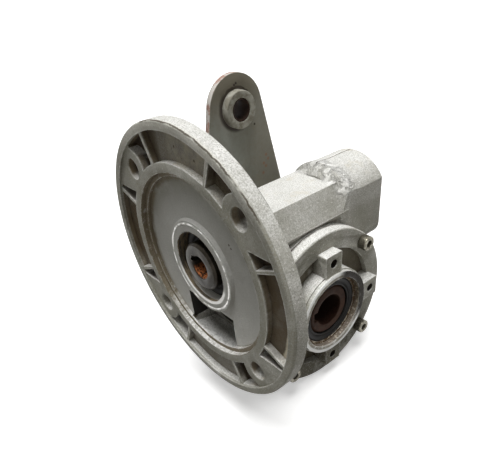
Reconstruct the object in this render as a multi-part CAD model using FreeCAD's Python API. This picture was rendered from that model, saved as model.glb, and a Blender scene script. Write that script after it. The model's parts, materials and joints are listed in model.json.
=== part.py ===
import FreeCAD, Part
import math
import os

V = FreeCAD.Vector
os.makedirs("parts", exist_ok=True)

# Frame: the origin is the centre of the output bore, halfway between the two covers.
# +X runs along the worm from the motor flange to the rear head, the near cover faces -Y,
# and +Z runs from the output axis up to the worm axis. All sizes are millimetres.

# Gear pair
centre_distance = 44.6
module = 2.4
wheel_teeth = 28
worm_starts = 1
worm_pitch_d = 2 * centre_distance - module * wheel_teeth
pressure_angle = 20.0
flank_clearance = 0.12
tip_gap = 0.2 * module
worm_turns = 4
wheel_face_width = 18.0
rim_inner_d = 50.0

# Fits and clearances
running_clearance = 0.3
seat_play = 0.02
ball_play = 0.04
screw_play = 0.25
chamfer = 0.6
edge_break = 0.4

# Motor flange
flange_distance = 63.8
flange_od = 140.0
flange_thickness = 8.0
rim_width = 4.0
pad_step = 1.2
pilot_ring_od = 104.0
pilot_ring_draft = 6.0
pilot_d = 95.0
pilot_length = 2.6
ledge_d = 90.5
recess_depth = 5.8
web_thickness = 4.2
bolt_circle_d = 115.0
bolt_hole_d = 9.0
bolt_hole_mouth_d = 10.6
bolt_hole_mouth_depth = 2.5
bolt_count = 4
bolt_boss_d = 20.6
pad_flat_height = 28.2
rib_angle = 22.5
rib_width = 1.8
pocket_floor = 1.6
wide_pocket_depth = 3.4

# Bearing boss in the flange recess and the casting window under it
boss_od = 48.4
boss_height = 1.9
boss_draft = 1.4
window_half_width = 19.5
window_top = 21.0
window_bottom = -1.0
window_fall = 5.1
window_depth = 21.5
neck_half_width = 25.0
neck_bottom = -9.0
neck_reach_x = -22.0

# Worm tube, drum and rear head of the case
tube_top_height = 19.0
tube_top_half_width = 14.0
tube_shoulder_half_width = 21.0
tube_shoulder_z = 49.0
tube_lower_half_width = 17.0
tube_lower_z = 42.5
tube_end_x = 26.0
drum_od = 88.0
drum_rim_od = 94.2
drum_rim_width = 4.0
screw_boss_d = 11.0
drum_width = 41.6
drum_bore_d = 78.0
wheel_cavity_d = 76.5
flare_d = 66.0
flare_length = 13.0
head_d = 49.2
head_half_width = 20.7
head_start_x = 26.0
head_end_x = 55.0
head_cone_start_x = 20.5
head_cone_d = 40.0
head_collar_d = 51.0
head_collar_end_x = 36.0
head_web_start_x = 13.0
head_foot_height = 23.2
head_low_corner_r = 8.5
head_round = 1.5
worm_cavity_d = 29.0

# Covers
gasket_thickness = 0.5
cover_flange_thickness = 6.6
cover_screw_circle_d = 85.2
cover_screw_count = 4
cover_screw_d = 5.0
cover_screw_length = 16.0
cover_screw_head_d = 8.5
cover_screw_head_height = 5.0
cover_screw_socket_af = 4.0
cover_screw_socket_depth = 2.5
cover_recess_od = 72.4
cover_recess_depth = 3.9
hub_d = 52.2
hub_nose_d = 50.6
hub_nose_length = 2.4
hub_face_y = 35.0
hub_mouth_d = 43.2
hub_mouth_depth = 3.8
spigot_length = 3.8
spigot_wall = 4.0
bearing_boss_wall = 4.4
lug_circle_d = 64.2
lug_count = 4
lug_width = 12.2
lug_reach = 37.8
lug_corner_r = 0.9
lug_root_depth = 3.0
lug_face_y = 33.9
lug_hole_d = 5.0
lug_hole_depth = 10.0
lug_hole_mouth_d = 5.4

# Hollow output shaft
output_bore_d = 18.0
output_journal_d = 30.0
output_half_length = 30.5
output_key_width = 6.0
output_key_depth = 2.8
output_collar_d = 36.0
hub_disc_half_width = 8.6

# Worm shaft
input_bore_d = 11.0
input_bore_depth = 30.0
input_key_width = 4.0
input_key_depth = 1.8
input_key_length = 24.0
input_key_angle = 30.0
input_chamfer = 1.0
worm_nose_x = -59.95
worm_front_journal_d = 25.0
worm_shoulder_d = 27.0
worm_shoulder_length = 3.0
worm_neck_d = 22.0
worm_rear_neck_d = 19.0
worm_rear_journal_d = 15.0
worm_rear_overrun = 3.6
thread_root_overlap = 0.5

# Ball bearings: bore, outer diameter, width, ball size, ball count and ring thickness
output_bearing = dict(bore=30.0, od=47.0, width=9.0, ball=5.4, count=14, ring=2.4)
front_bearing = dict(bore=25.0, od=37.0, width=7.0, ball=3.5, count=16, ring=1.7)
rear_bearing = dict(bore=15.0, od=32.0, width=9.0, ball=4.76, count=8, ring=2.4)
output_bearing_y = 11.5
front_bearing_x = -45.2
rear_bearing_x = 34.0
cage_thickness = 1.1
cage_margin = 0.9

# Seals and retaining rings
output_seal_od = 40.0
output_seal_width = 7.0
output_seal_y = 24.0
worm_seal_width = 7.0
worm_seal_x = -54.0
seal_case_thickness = 1.4
seal_lip_inset = 1.2
circlip_width = 1.2
circlip_bite = 1.2
circlip_inner_reach = 1.92
rear_cap_x = 49.5
rear_cap_width = 4.0
rear_cap_recess = 1.6
rear_cap_wall = 3.2

# Torque arm
arm_length = 99.0
arm_thickness = 3.6
arm_eye_r = 17.2
arm_ring_r = 38.6
bush_od = 19.0
bush_liner_od = 11.6
bush_bore_d = 10.0
bush_length = 15.0
bush_front_reach = 4.3
liner_inset = 0.3
arm_bolt_d = 6.0
arm_bolt_length = 12.0
arm_bolt_head_af = 10.0
arm_bolt_head_height = 4.0
arm_bolt_crown_low = 0.6
arm_bolt_crown_high = 0.9
washer_od = 12.0
washer_thickness = 1.6

# Derived places
flange_face_x = -flange_distance
ring_face_x = flange_face_x + pad_step
rim_back_x = flange_face_x + flange_thickness
recess_floor_x = flange_face_x + recess_depth
web_back_x = recess_floor_x + web_thickness
boss_face_x = recess_floor_x - boss_height
rim_inner_r = flange_od / 2 - rim_width
rib_half_angle = math.degrees(rib_width / rim_inner_r) / 2
seat_y = drum_width / 2
cover_back_y = seat_y + gasket_thickness
cover_face_y = cover_back_y + cover_flange_thickness
recess_face_y = cover_face_y - cover_recess_depth
arm_front_y = hub_face_y
arm_back_y = arm_front_y + arm_thickness
bush_front_y = arm_front_y - bush_front_reach
pitch = math.pi * module * worm_starts
worm_root_d = worm_pitch_d - 2 * (module + tip_gap)
worm_tip_d = worm_pitch_d + 2 * module
wheel_pitch_r = module * wheel_teeth / 2
wheel_tip_r = wheel_pitch_r + module
wheel_root_r = wheel_pitch_r - module - tip_gap
lead_per_mm = worm_starts * module / worm_pitch_d / wheel_pitch_r
front_seat_end_x = front_bearing_x + front_bearing["width"] + seat_play
rear_seat_start_x = rear_bearing_x - seat_play

X, Y, Z = V(1, 0, 0), V(0, 1, 0), V(0, 0, 1)


def save(shape, name):
    """Write one node."""
    shape.exportStep("parts/" + name + ".step")


def disc_x(d, x0, x1, y=0.0, z=centre_distance):
    """Cylinder along X, on the worm axis unless another place is given."""
    return Part.makeCylinder(d / 2, x1 - x0, V(x0, y, z), X)


def ring_x(d_out, d_in, x0, x1):
    """Ring along the worm axis."""
    return disc_x(d_out, x0, x1).cut(disc_x(d_in, x0 - 1, x1 + 1))


def disc_y(d, y0, y1, x=0.0, z=0.0):
    """Cylinder along Y, on the output axis unless another place is given."""
    return Part.makeCylinder(d / 2, y1 - y0, V(x, y0, z), Y)


def ring_y(d_out, d_in, y0, y1, x=0.0, z=0.0):
    """Ring along the output axis."""
    return disc_y(d_out, y0, y1, x, z).cut(disc_y(d_in, y0 - 1, y1 + 1, x, z))


def block(x0, x1, y0, y1, z0, z1):
    """Box between two corners."""
    return Part.makeBox(x1 - x0, y1 - y0, z1 - z0, V(x0, y0, z0))


def cone_x(d0, d1, x0, x1):
    """Cone along the worm axis, d0 wide at x0 and d1 wide at x1."""
    return Part.makeCone(d0 / 2, d1 / 2, x1 - x0, V(x0, 0, centre_distance), X)


def turned(shape, angle, centre, axis):
    """A copy turned by an angle in degrees."""
    copy = shape.copy()
    copy.rotate(centre, axis, angle)
    return copy


def far_side(shape):
    """The same piece on the far side of the case."""
    return shape.mirror(V(0, 0, 0), Y)


def around_x(shape, count, start=0.0):
    """Copies spaced evenly around the worm axis."""
    centre = V(0, 0, centre_distance)
    return [turned(shape, start + 360.0 * i / count, centre, X) for i in range(count)]


def around_y(shape, count, start=0.0):
    """Copies spaced evenly around the output axis."""
    return [turned(shape, start + 360.0 * i / count, V(0, 0, 0), Y) for i in range(count)]


def fused(shapes):
    """One solid from several."""
    return shapes[0].multiFuse(shapes[1:]).removeSplitter()


def prism_x(points, x0, x1):
    """Solid with a (y, z) outline, from x0 to x1."""
    wire = Part.makePolygon([V(x0, y, z) for y, z in points + points[:1]])
    return Part.Face(wire).extrude(V(x1 - x0, 0, 0))


def sector(r_in, r_out, angle0, angle1, x0, x1):
    """Part of a ring around the worm axis, between two angles from -Y towards +Z."""
    corners = [V(x, -r, centre_distance) for x, r in ((x0, r_out), (x1, r_out), (x1, r_in), (x0, r_in))]
    centre = V(0, 0, centre_distance)
    body = Part.Face(Part.makePolygon(corners + corners[:1])).revolve(centre, X, angle0 - angle1)
    return turned(body, -angle0, centre, X)


def bolt_pads():
    """Round boss at each bolt hole, filled out to a flat side above and below the worm axis."""
    r_out = flange_od / 2
    x0, x1 = flange_face_x - 1, rim_back_x
    hole_y = bolt_circle_d / 2 * math.sin(math.pi / bolt_count)
    low, high = centre_distance + pad_flat_height, centre_distance + r_out
    filling = fused([block(x0, x1, hole_y, r_out, low, high), block(x0, x1, -r_out, -hole_y, low, high)])
    below = turned(filling, 180.0, V(0, 0, centre_distance), X)
    bosses = around_x(disc_x(bolt_boss_d, x0, x1, bolt_circle_d / 2), bolt_count, 180.0 / bolt_count)
    return Part.Compound([filling, below] + bosses)


def deep_pockets():
    """Pockets beside the bolt pads, between the two ribs at each pad."""
    depth = flange_thickness - pad_step - pocket_floor
    half = rib_angle - rib_half_angle
    cuts = []
    for i in range(bolt_count):
        pad = 360.0 * (i + 0.5) / bolt_count
        cuts.append(sector(pilot_ring_od / 2, rim_inner_r, pad - half, pad + half,
                           ring_face_x - 1, ring_face_x + depth))
    return Part.Compound(cuts).cut(bolt_pads())


def wide_pockets():
    """Shallow pockets between the ribs of neighbouring pads."""
    half = 180.0 / bolt_count - rib_angle - rib_half_angle
    cuts = []
    for i in range(bolt_count):
        middle = 360.0 * i / bolt_count
        cuts.append(sector(pilot_ring_od / 2, rim_inner_r, middle - half, middle + half,
                           ring_face_x - 1, ring_face_x + wide_pocket_depth))
    return Part.Compound(cuts)


def bolt_hole():
    """Through hole of the flange with a drafted mouth, at +Y."""
    y = bolt_circle_d / 2
    hole = disc_x(bolt_hole_d, flange_face_x - 1, rim_back_x + 1, y)
    mouth = Part.makeCone(bolt_hole_mouth_d / 2, bolt_hole_d / 2, bolt_hole_mouth_depth,
                          V(ring_face_x, y, centre_distance), X)
    return hole.fuse(mouth)


def flange_body():
    """Disc with its rim, pilot ring, pads and pockets."""
    body = disc_x(flange_od, flange_face_x, rim_back_x)
    body = body.makeChamfer(chamfer, [e for e in body.Edges if e.Length > flange_od])
    body = body.fuse(cone_x(pilot_ring_od, pilot_ring_od - pilot_ring_draft, rim_back_x, web_back_x))
    body = body.cut(disc_x(2 * rim_inner_r, flange_face_x - 1, ring_face_x))
    body = body.cut(disc_x(pilot_d, flange_face_x - 1, ring_face_x + pilot_length))
    body = body.cut(disc_x(ledge_d, flange_face_x - 1, recess_floor_x))
    body = body.cut(deep_pockets()).cut(wide_pockets())
    for copy in around_x(bolt_hole(), bolt_count, 180.0 / bolt_count):
        body = body.cut(copy)
    return body


def tube_section():
    """Outline of the worm tube: flat top, sloping sides and an undercut waist."""
    top_z = centre_distance + tube_top_height
    half = [(tube_top_half_width, top_z), (tube_shoulder_half_width, tube_shoulder_z),
            (tube_lower_half_width, tube_lower_z), (tube_lower_half_width, 0.0)]
    return half + [(-y, z) for y, z in reversed(half)]


def drum():
    """Round gear case between the two covers, with a seat rim at each side and screw bosses."""
    body = disc_y(drum_od, -seat_y, seat_y)
    rim = disc_y(drum_rim_od, seat_y - drum_rim_width, seat_y)
    body = body.fuse(rim).fuse(far_side(rim))
    screw_boss = disc_y(screw_boss_d, -seat_y, seat_y, cover_screw_circle_d / 2)
    screw_boss = screw_boss.common(disc_y(drum_rim_od, -seat_y, seat_y))
    for copy in around_y(screw_boss, cover_screw_count, 45.0):
        body = body.fuse(copy)
    return body


def head():
    """Rear end of the case: round on top, flat on both sides and square with round corners below."""
    r, w, c = head_d / 2, head_half_width, head_low_corner_r
    foot_z = centre_distance - head_foot_height
    upper = block(head_cone_start_x - 1, head_end_x, -w, w, centre_distance, centre_distance + head_collar_d)
    foot = block(head_start_x, head_end_x, -w, w, foot_z, centre_distance)
    low = [e for e in foot.Edges if abs(e.CenterOfMass.z - foot_z) < 0.01 and e.BoundBox.YLength < 0.01]
    body = disc_x(2 * r, head_start_x, head_end_x).common(upper).fuse(foot.makeFillet(c, low)).removeSplitter()
    rear = [e for e in body.Edges if abs(e.CenterOfMass.x - head_end_x) < 0.01]
    body = body.makeFillet(head_round, rear)
    collar = cone_x(head_collar_d, head_d, head_start_x, head_collar_end_x)
    collar = collar.fuse(cone_x(head_cone_d, head_collar_d, head_cone_start_x, head_start_x))
    return body.fuse(collar.common(upper)).fuse(head_web(foot_z))


def head_web(foot_z):
    """Cast blend that widens the waist of the worm tube to the flat sides of the head."""
    plan = [V(head_web_start_x, tube_lower_half_width, foot_z), V(head_start_x, head_half_width, foot_z),
            V(head_start_x, -head_half_width, foot_z), V(head_web_start_x, -tube_lower_half_width, foot_z)]
    return Part.Face(Part.makePolygon(plan + plan[:1])).extrude(V(0, 0, tube_shoulder_z - foot_z))


def window():
    """Casting window under the bearing boss, with a floor that falls inwards to the drum."""
    front, back = recess_floor_x - 1, recess_floor_x + window_depth
    w = window_half_width
    corners = [V(front, -w, window_bottom), V(back, -w, window_bottom - window_fall),
               V(back, -w, window_top), V(front, -w, window_top)]
    opening = Part.Face(Part.makePolygon(corners + corners[:1])).extrude(V(0, 2 * w, 0))
    return opening.cut(disc_y(drum_od, -w - 1, w + 1))


def gear_case():
    """Die-cast case with its motor flange."""
    body = flange_body()
    body = body.fuse(prism_x(tube_section(), rim_back_x - pocket_floor, tube_end_x))
    body = body.fuse(cone_x(flare_d, tube_top_height * 2, rim_back_x - pocket_floor, rim_back_x + flare_length))
    neck = block(web_back_x - 1, neck_reach_x, -neck_half_width, neck_half_width, neck_bottom, tube_lower_z)
    neck = neck.common(disc_y(2 * flange_distance, -neck_half_width, neck_half_width))
    neck = neck.cut(disc_y(drum_rim_od + 2 * running_clearance, seat_y - drum_rim_width, neck_half_width + 1))
    neck = neck.cut(disc_y(drum_rim_od + 2 * running_clearance, -neck_half_width - 1, drum_rim_width - seat_y))
    body = body.fuse(neck)
    body = body.fuse(drum())
    body = body.fuse(head())
    boss = cone_x(boss_od + boss_draft, boss_od, recess_floor_x - boss_height, recess_floor_x)
    boss = turned(boss, 180.0, V(recess_floor_x - boss_height / 2, 0, centre_distance), Z)
    cavity = disc_y(wheel_cavity_d, -seat_y - 1, seat_y + 1)
    mouth = disc_y(drum_bore_d, seat_y - spigot_length - 1, seat_y + 1)
    body = body.cut(window()).fuse(boss)
    body = body.cut(cavity).cut(mouth).cut(far_side(mouth))
    body = body.cut(disc_x(worm_cavity_d, front_seat_end_x - 1, rear_seat_start_x + 1))
    body = body.cut(disc_x(front_bearing["od"] + 2 * seat_play, boss_face_x - 1, front_seat_end_x))
    body = body.cut(disc_x(rear_bearing["od"] + 2 * seat_play, rear_seat_start_x, head_end_x + 1))
    groove_od = front_bearing["od"] + 2 * circlip_bite
    groove_x = front_bearing_x - circlip_width - 2 * seat_play
    body = body.cut(disc_x(groove_od, groove_x, front_bearing_x - seat_play))
    rear_end = rear_bearing_x + rear_bearing["width"]
    groove_od = rear_bearing["od"] + 2 * circlip_bite
    body = body.cut(disc_x(groove_od, rear_end + seat_play, rear_end + circlip_width + 2 * seat_play))
    tapped = disc_y(cover_screw_d, seat_y - cover_screw_length, seat_y + 1, cover_screw_circle_d / 2)
    for copy in around_y(tapped, cover_screw_count, 45.0):
        body = body.cut(copy).cut(far_side(copy))
    return body.removeSplitter()


def cover_lug(face_y):
    """Lug beside the hub of a cover, at +X, with round corners."""
    half = lug_width / 2
    lug = block(hub_d / 2 - lug_root_depth, lug_reach, -face_y, -cover_back_y, -half, half)
    corners = [e for e in lug.Edges if e.BoundBox.YLength > 1 and e.CenterOfMass.x > lug_reach - 0.01]
    return lug.makeFillet(lug_corner_r, corners)


def output_cover(lug_y):
    """Round output cover, near side: flange, bearing boss, seal hub, lugs and screw holes."""
    body = disc_y(drum_rim_od, -cover_face_y, -cover_back_y)
    body = body.makeChamfer(chamfer, [e for e in body.Edges if abs(e.CenterOfMass.y + cover_face_y) < 0.01])
    body = body.cut(ring_y(cover_recess_od, hub_d, -cover_face_y - 1, -recess_face_y))
    body = body.fuse(disc_y(hub_d, hub_nose_length - hub_face_y, -cover_back_y))
    body = body.fuse(disc_y(hub_nose_d, -hub_face_y, -cover_back_y))
    spigot_d = drum_bore_d - 2 * seat_play
    body = body.fuse(ring_y(spigot_d, spigot_d - 2 * spigot_wall, -cover_back_y, spigot_length - cover_back_y))
    bearing_d = output_bearing["od"] + 2 * seat_play
    body = body.fuse(disc_y(bearing_d + 2 * bearing_boss_wall, -cover_back_y, -output_bearing_y))
    body = fused([body] + around_y(cover_lug(lug_y), lug_count))
    body = body.cut(disc_y(hub_mouth_d, -hub_face_y - 1, hub_mouth_depth - hub_face_y))
    body = body.cut(disc_y(output_seal_od + 2 * seat_play, -hub_face_y - 1, -output_seal_y))
    body = body.cut(disc_y(output_collar_d, -output_seal_y - 1, -output_bearing_y + 1))
    bearing_back = output_bearing_y + output_bearing["width"] + seat_play
    body = body.cut(disc_y(bearing_d, -bearing_back, -output_bearing_y + 1))
    hole = disc_y(lug_hole_d, -lug_y - 1, lug_hole_depth - lug_y, lug_circle_d / 2)
    mouth_r, hole_r = lug_hole_mouth_d / 2, lug_hole_d / 2
    cone = Part.makeCone(mouth_r, hole_r, mouth_r - hole_r, V(lug_circle_d / 2, -lug_y, 0), Y)
    for copy in around_y(hole.fuse(cone), lug_count):
        body = body.cut(copy)
    hole_d = cover_screw_d + 2 * screw_play
    hole = disc_y(hole_d, -cover_face_y - 1, -cover_back_y + spigot_length + 1, cover_screw_circle_d / 2)
    for copy in around_y(hole, cover_screw_count, 45.0):
        body = body.cut(copy)
    return body.removeSplitter()


def cover_gasket():
    """Flat gasket between the near cover and its seat."""
    body = ring_y(drum_rim_od, drum_bore_d, -cover_back_y, -seat_y)
    hole_d = cover_screw_d + 2 * screw_play
    hole = disc_y(hole_d, -cover_back_y - 1, -seat_y + 1, cover_screw_circle_d / 2)
    for copy in around_y(hole, cover_screw_count, 45.0):
        body = body.cut(copy)
    return body


def cap_screw():
    """Socket-head cap screw of the near cover, at +X."""
    x = cover_screw_circle_d / 2
    head_top = -cover_face_y - cover_screw_head_height
    body = disc_y(cover_screw_head_d, head_top, -cover_face_y, x)
    body = body.makeChamfer(edge_break, [e for e in body.Edges if abs(e.CenterOfMass.y - head_top) < 0.01])
    shank_end = -cover_face_y + cover_screw_length
    body = body.fuse(disc_y(cover_screw_d - 2 * seat_play, -cover_face_y, shank_end, x))
    corner_r = cover_screw_socket_af / 2 / math.cos(math.pi / 6)
    points = [V(x + corner_r * math.cos(i * math.pi / 3), head_top - 1, corner_r * math.sin(i * math.pi / 3))
              for i in range(7)]
    socket = Part.Face(Part.makePolygon(points)).extrude(V(0, cover_screw_socket_depth + 1, 0))
    return body.cut(socket)


def bearing_y(spec, y0):
    """Inner ring, outer ring, balls and cage of a bearing on the output axis, from y0 towards +Y."""
    pitch_r = (spec["bore"] + spec["od"]) / 4
    mid = y0 + spec["width"] / 2
    inner = ring_y(spec["bore"] + 2 * spec["ring"], spec["bore"], y0, y0 + spec["width"])
    outer = ring_y(spec["od"], spec["od"] - 2 * spec["ring"], y0, y0 + spec["width"])
    race = Part.makeTorus(pitch_r, spec["ball"] / 2 + ball_play, V(0, mid, 0), Y)
    ball = Part.makeSphere(spec["ball"] / 2, V(pitch_r, mid, 0))
    balls = Part.Compound(around_y(ball, spec["count"]))
    cage = ring_y(2 * pitch_r + cage_thickness, 2 * pitch_r - cage_thickness, y0 + cage_margin,
                  y0 + spec["width"] - cage_margin)
    pocket_start = V(pitch_r - 2 * cage_thickness, mid, 0)
    pocket = Part.makeCylinder(spec["ball"] / 2 + ball_play, 4 * cage_thickness, pocket_start, X)
    for copy in around_y(pocket, spec["count"]):
        cage = cage.cut(copy)
    return inner.cut(race), outer.cut(race), balls, cage


def bearing_x(spec, x0):
    """The same four pieces for a bearing on the worm axis, from x0 towards +X."""
    pieces = bearing_y(spec, 0.0)
    placed = []
    for piece in pieces:
        piece = turned(piece, -90.0, V(0, 0, 0), Z)
        piece.translate(V(x0, 0, centre_distance))
        placed.append(piece)
    return placed


def output_seal():
    """Lip seal of the near cover: a steel-backed ring with a lip on the shaft."""
    y0 = -output_seal_y - output_seal_width
    body = ring_y(output_seal_od, output_journal_d + 2 * seat_play, y0, -output_seal_y)
    trough = ring_y(output_seal_od - 2 * seal_case_thickness, output_journal_d + 2 * seal_lip_inset,
                    y0 + output_seal_width / 2, -output_seal_y + 1)
    front = ring_y(output_seal_od - 3 * seal_case_thickness, output_journal_d + 3 * seal_lip_inset,
                   y0 - 1, y0 + chamfer)
    return body.cut(trough).cut(front)


def worm_seal():
    """Lip seal of the worm shaft in the flange boss."""
    x1 = worm_seal_x + worm_seal_width
    body = ring_x(front_bearing["od"], worm_front_journal_d + 2 * seat_play, worm_seal_x, x1)
    trough = ring_x(front_bearing["od"] - 2 * seal_case_thickness, worm_front_journal_d + 2 * seal_lip_inset,
                    worm_seal_x + worm_seal_width / 2, x1 + 1)
    return body.cut(trough)


def inner_circlip(spec, x0):
    """Retaining ring in a bore groove, open at the bottom."""
    d_out = spec["od"] + 2 * circlip_bite - 2 * seat_play
    body = ring_x(d_out, spec["od"] - 2 * circlip_inner_reach, x0, x0 + circlip_width)
    gap = prism_x([(0, centre_distance), (-spec["od"], centre_distance - 2 * spec["od"]),
                   (spec["od"], centre_distance - 2 * spec["od"])], x0 - 1, x0 + circlip_width + 1)
    return body.cut(gap)


def shaft_circlip(d, x0):
    """Retaining ring in a shaft groove, open at the bottom."""
    body = ring_x(d + 2 * circlip_bite, d - circlip_bite, x0, x0 + circlip_width)
    gap = prism_x([(0, centre_distance), (-d / 2, centre_distance - 2 * d), (d / 2, centre_distance - 2 * d)],
                  x0 - 1, x0 + circlip_width + 1)
    return body.cut(gap)


def rear_cap():
    """Pressed cap that closes the rear bearing bore."""
    body = disc_x(rear_bearing["od"], rear_cap_x, rear_cap_x + rear_cap_width)
    dish = disc_x(rear_bearing["od"] - 2 * rear_cap_wall, rear_cap_x + rear_cap_width - rear_cap_recess,
                  rear_cap_x + rear_cap_width + 1)
    return body.cut(dish)


def hollow_output_shaft():
    """Hollow output shaft with its wheel hub and keyway."""
    body = disc_y(output_journal_d, -output_half_length, output_half_length)
    ends = [e for e in body.Edges if abs(abs(e.CenterOfMass.y) - output_half_length) < 0.01]
    body = body.makeChamfer(2 * chamfer, ends)
    collar = output_bearing_y
    body = body.fuse(disc_y(output_collar_d, -collar, collar))
    body = body.fuse(disc_y(rim_inner_d, -hub_disc_half_width, hub_disc_half_width))
    body = body.cut(disc_y(output_bore_d, -output_half_length - 1, output_half_length + 1))
    for end in (-1, 1):
        mouth = Part.makeCone(output_bore_d / 2 + chamfer, output_bore_d / 2, chamfer,
                              V(0, end * output_half_length, 0), V(0, -end, 0))
        body = body.cut(mouth)
    key_top = output_bore_d / 2 + output_key_depth
    key = block(-key_top, 0, -output_half_length - 1, output_half_length + 1,
                -output_key_width / 2, output_key_width / 2)
    return body.cut(key).removeSplitter()


def involute(angle):
    """Involute function of an angle in radians."""
    return math.tan(angle) - angle


def wheel_outline(y, turn):
    """Closed toothed outline in the plane y, turned by an angle in radians about +Y."""
    alpha = math.radians(pressure_angle)
    base_r = wheel_pitch_r * math.cos(alpha)
    half = (math.pi * module / 4 - flank_clearance) / wheel_pitch_r

    def flank_angle(r):
        if r <= base_r:
            return half + involute(alpha)
        return half + involute(alpha) - involute(math.acos(base_r / r))

    def place(r, angle):
        return V(r * math.sin(angle + turn), y, r * math.cos(angle + turn))

    step = 2 * math.pi / wheel_teeth
    edges = []
    for i in range(wheel_teeth):
        mid = (i + 0.5) * step
        root = place(wheel_root_r, mid - flank_angle(wheel_root_r))
        foot = place(base_r, mid - flank_angle(base_r))
        waist = place(wheel_pitch_r, mid - flank_angle(wheel_pitch_r))
        tip = place(wheel_tip_r, mid - flank_angle(wheel_tip_r))
        crown = place(wheel_tip_r, mid)
        tip2 = place(wheel_tip_r, mid + flank_angle(wheel_tip_r))
        waist2 = place(wheel_pitch_r, mid + flank_angle(wheel_pitch_r))
        foot2 = place(base_r, mid + flank_angle(base_r))
        root2 = place(wheel_root_r, mid + flank_angle(wheel_root_r))
        floor = place(wheel_root_r, mid + step / 2)
        nxt = place(wheel_root_r, mid + step - flank_angle(wheel_root_r))
        edges += [Part.makeLine(root, foot), Part.Arc(foot, waist, tip).toShape(),
                  Part.Arc(tip, crown, tip2).toShape(), Part.Arc(tip2, waist2, foot2).toShape(),
                  Part.makeLine(foot2, root2), Part.Arc(root2, floor, nxt).toShape()]
    return Part.Wire(edges)


def worm_wheel_rim():
    """Bronze toothed rim, with a tooth gap at the top, facing the worm."""
    half_width = wheel_face_width / 2
    turn = lead_per_mm * half_width
    body = Part.makeLoft([wheel_outline(-half_width, -turn), wheel_outline(half_width, turn)], True, True)
    return body.cut(disc_y(rim_inner_d, -half_width - 1, half_width + 1))


def worm_thread():
    """Thread of the worm, with a crest over the wheel at x = 0."""
    length = worm_turns * pitch
    helix = Part.makeHelix(pitch, length, worm_pitch_d / 2)
    slope = math.tan(math.radians(pressure_angle))
    half = math.pi * module / 4 - flank_clearance
    r_in = worm_root_d / 2 - thread_root_overlap
    r_out, r_mid = worm_tip_d / 2, worm_pitch_d / 2
    half_in, half_out = half + (r_mid - r_in) * slope, half - (r_out - r_mid) * slope
    profile = Part.makePolygon([V(r_in, 0, -half_in), V(r_out, 0, -half_out), V(r_out, 0, half_out),
                                V(r_in, 0, half_in), V(r_in, 0, -half_in)])
    thread = Part.Wire(helix).makePipeShell([profile], True, True)
    thread.rotate(V(0, 0, 0), Y, 90.0)
    thread.translate(V(-length / 2, 0, centre_distance))
    return thread


def worm_shaft():
    """Worm with its hollow, keyed motor end and rear journal."""
    front_end = front_bearing_x + front_bearing["width"]
    thread_end = worm_turns * pitch / 2 + module
    rear_end = rear_bearing_x + rear_bearing["width"] + worm_rear_overrun
    journal = disc_x(worm_front_journal_d, worm_nose_x, front_end)
    nose_edges = [e for e in journal.Edges if abs(e.CenterOfMass.x - worm_nose_x) < 0.01]
    journal = journal.makeChamfer(2 * chamfer, nose_edges)
    body = fused([journal,
                  disc_x(worm_shoulder_d, front_end, front_end + worm_shoulder_length),
                  disc_x(worm_neck_d, front_end, -thread_end),
                  disc_x(worm_root_d, -thread_end - 1, thread_end + 1),
                  disc_x(worm_rear_neck_d, thread_end, rear_bearing_x),
                  disc_x(worm_rear_journal_d, rear_bearing_x - 1, rear_end)])
    body = body.fuse(worm_thread())
    bore_end = worm_nose_x + input_bore_depth
    body = body.cut(disc_x(input_bore_d, worm_nose_x - 1, bore_end))
    mouth_d = input_bore_d + 2 * input_chamfer
    body = body.cut(cone_x(mouth_d, input_bore_d, worm_nose_x, worm_nose_x + input_chamfer))
    key_top = input_bore_d / 2 + input_key_depth
    key = block(worm_nose_x - 1, worm_nose_x + input_key_length, 0, key_top,
                centre_distance - input_key_width / 2, centre_distance + input_key_width / 2)
    body = body.cut(turned(key, input_key_angle, V(0, 0, centre_distance), X))
    groove_x = rear_bearing_x + rear_bearing["width"]
    groove = ring_x(worm_rear_journal_d + 2, worm_rear_journal_d - circlip_bite,
                    groove_x, groove_x + circlip_width)
    return body.cut(groove)


def arm_outline(y):
    """Tapered outline of the torque arm: two arcs joined by their common tangents."""
    lean = math.asin((arm_ring_r - arm_eye_r) / arm_length)
    c, s = math.cos(lean), math.sin(lean)
    low_right, low_left = V(arm_ring_r * c, y, arm_ring_r * s), V(-arm_ring_r * c, y, arm_ring_r * s)
    high_right = V(arm_eye_r * c, y, arm_length + arm_eye_r * s)
    high_left = V(-arm_eye_r * c, y, arm_length + arm_eye_r * s)
    return Part.Wire([Part.makeLine(low_right, high_right),
                      Part.Arc(high_right, V(0, y, arm_length + arm_eye_r), high_left).toShape(),
                      Part.makeLine(high_left, low_left),
                      Part.Arc(low_left, V(0, y, -arm_ring_r), low_right).toShape()])


def torque_arm():
    """Flat steel arm bolted to the far cover's lugs, lying on the lugs and on the hub."""
    body = Part.Face(arm_outline(arm_front_y)).extrude(V(0, arm_thickness, 0))
    body = body.cut(disc_y(hub_mouth_d, arm_front_y - 1, arm_back_y + 1))
    body = body.cut(disc_y(bush_od, arm_front_y - 1, arm_back_y + 1, 0.0, arm_length))
    hole = disc_y(arm_bolt_d + 2 * screw_play, arm_front_y - 1, arm_back_y + 1, lug_circle_d / 2)
    for copy in around_y(hole, lug_count):
        body = body.cut(copy)
    return body


def arm_bush(d_out, d_in, inset):
    """Sleeve in the eye of the arm, shorter than the bush by an inset at both ends."""
    back_y = bush_front_y + bush_length
    return ring_y(d_out, d_in, bush_front_y + inset, back_y - inset, 0.0, arm_length)


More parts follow.
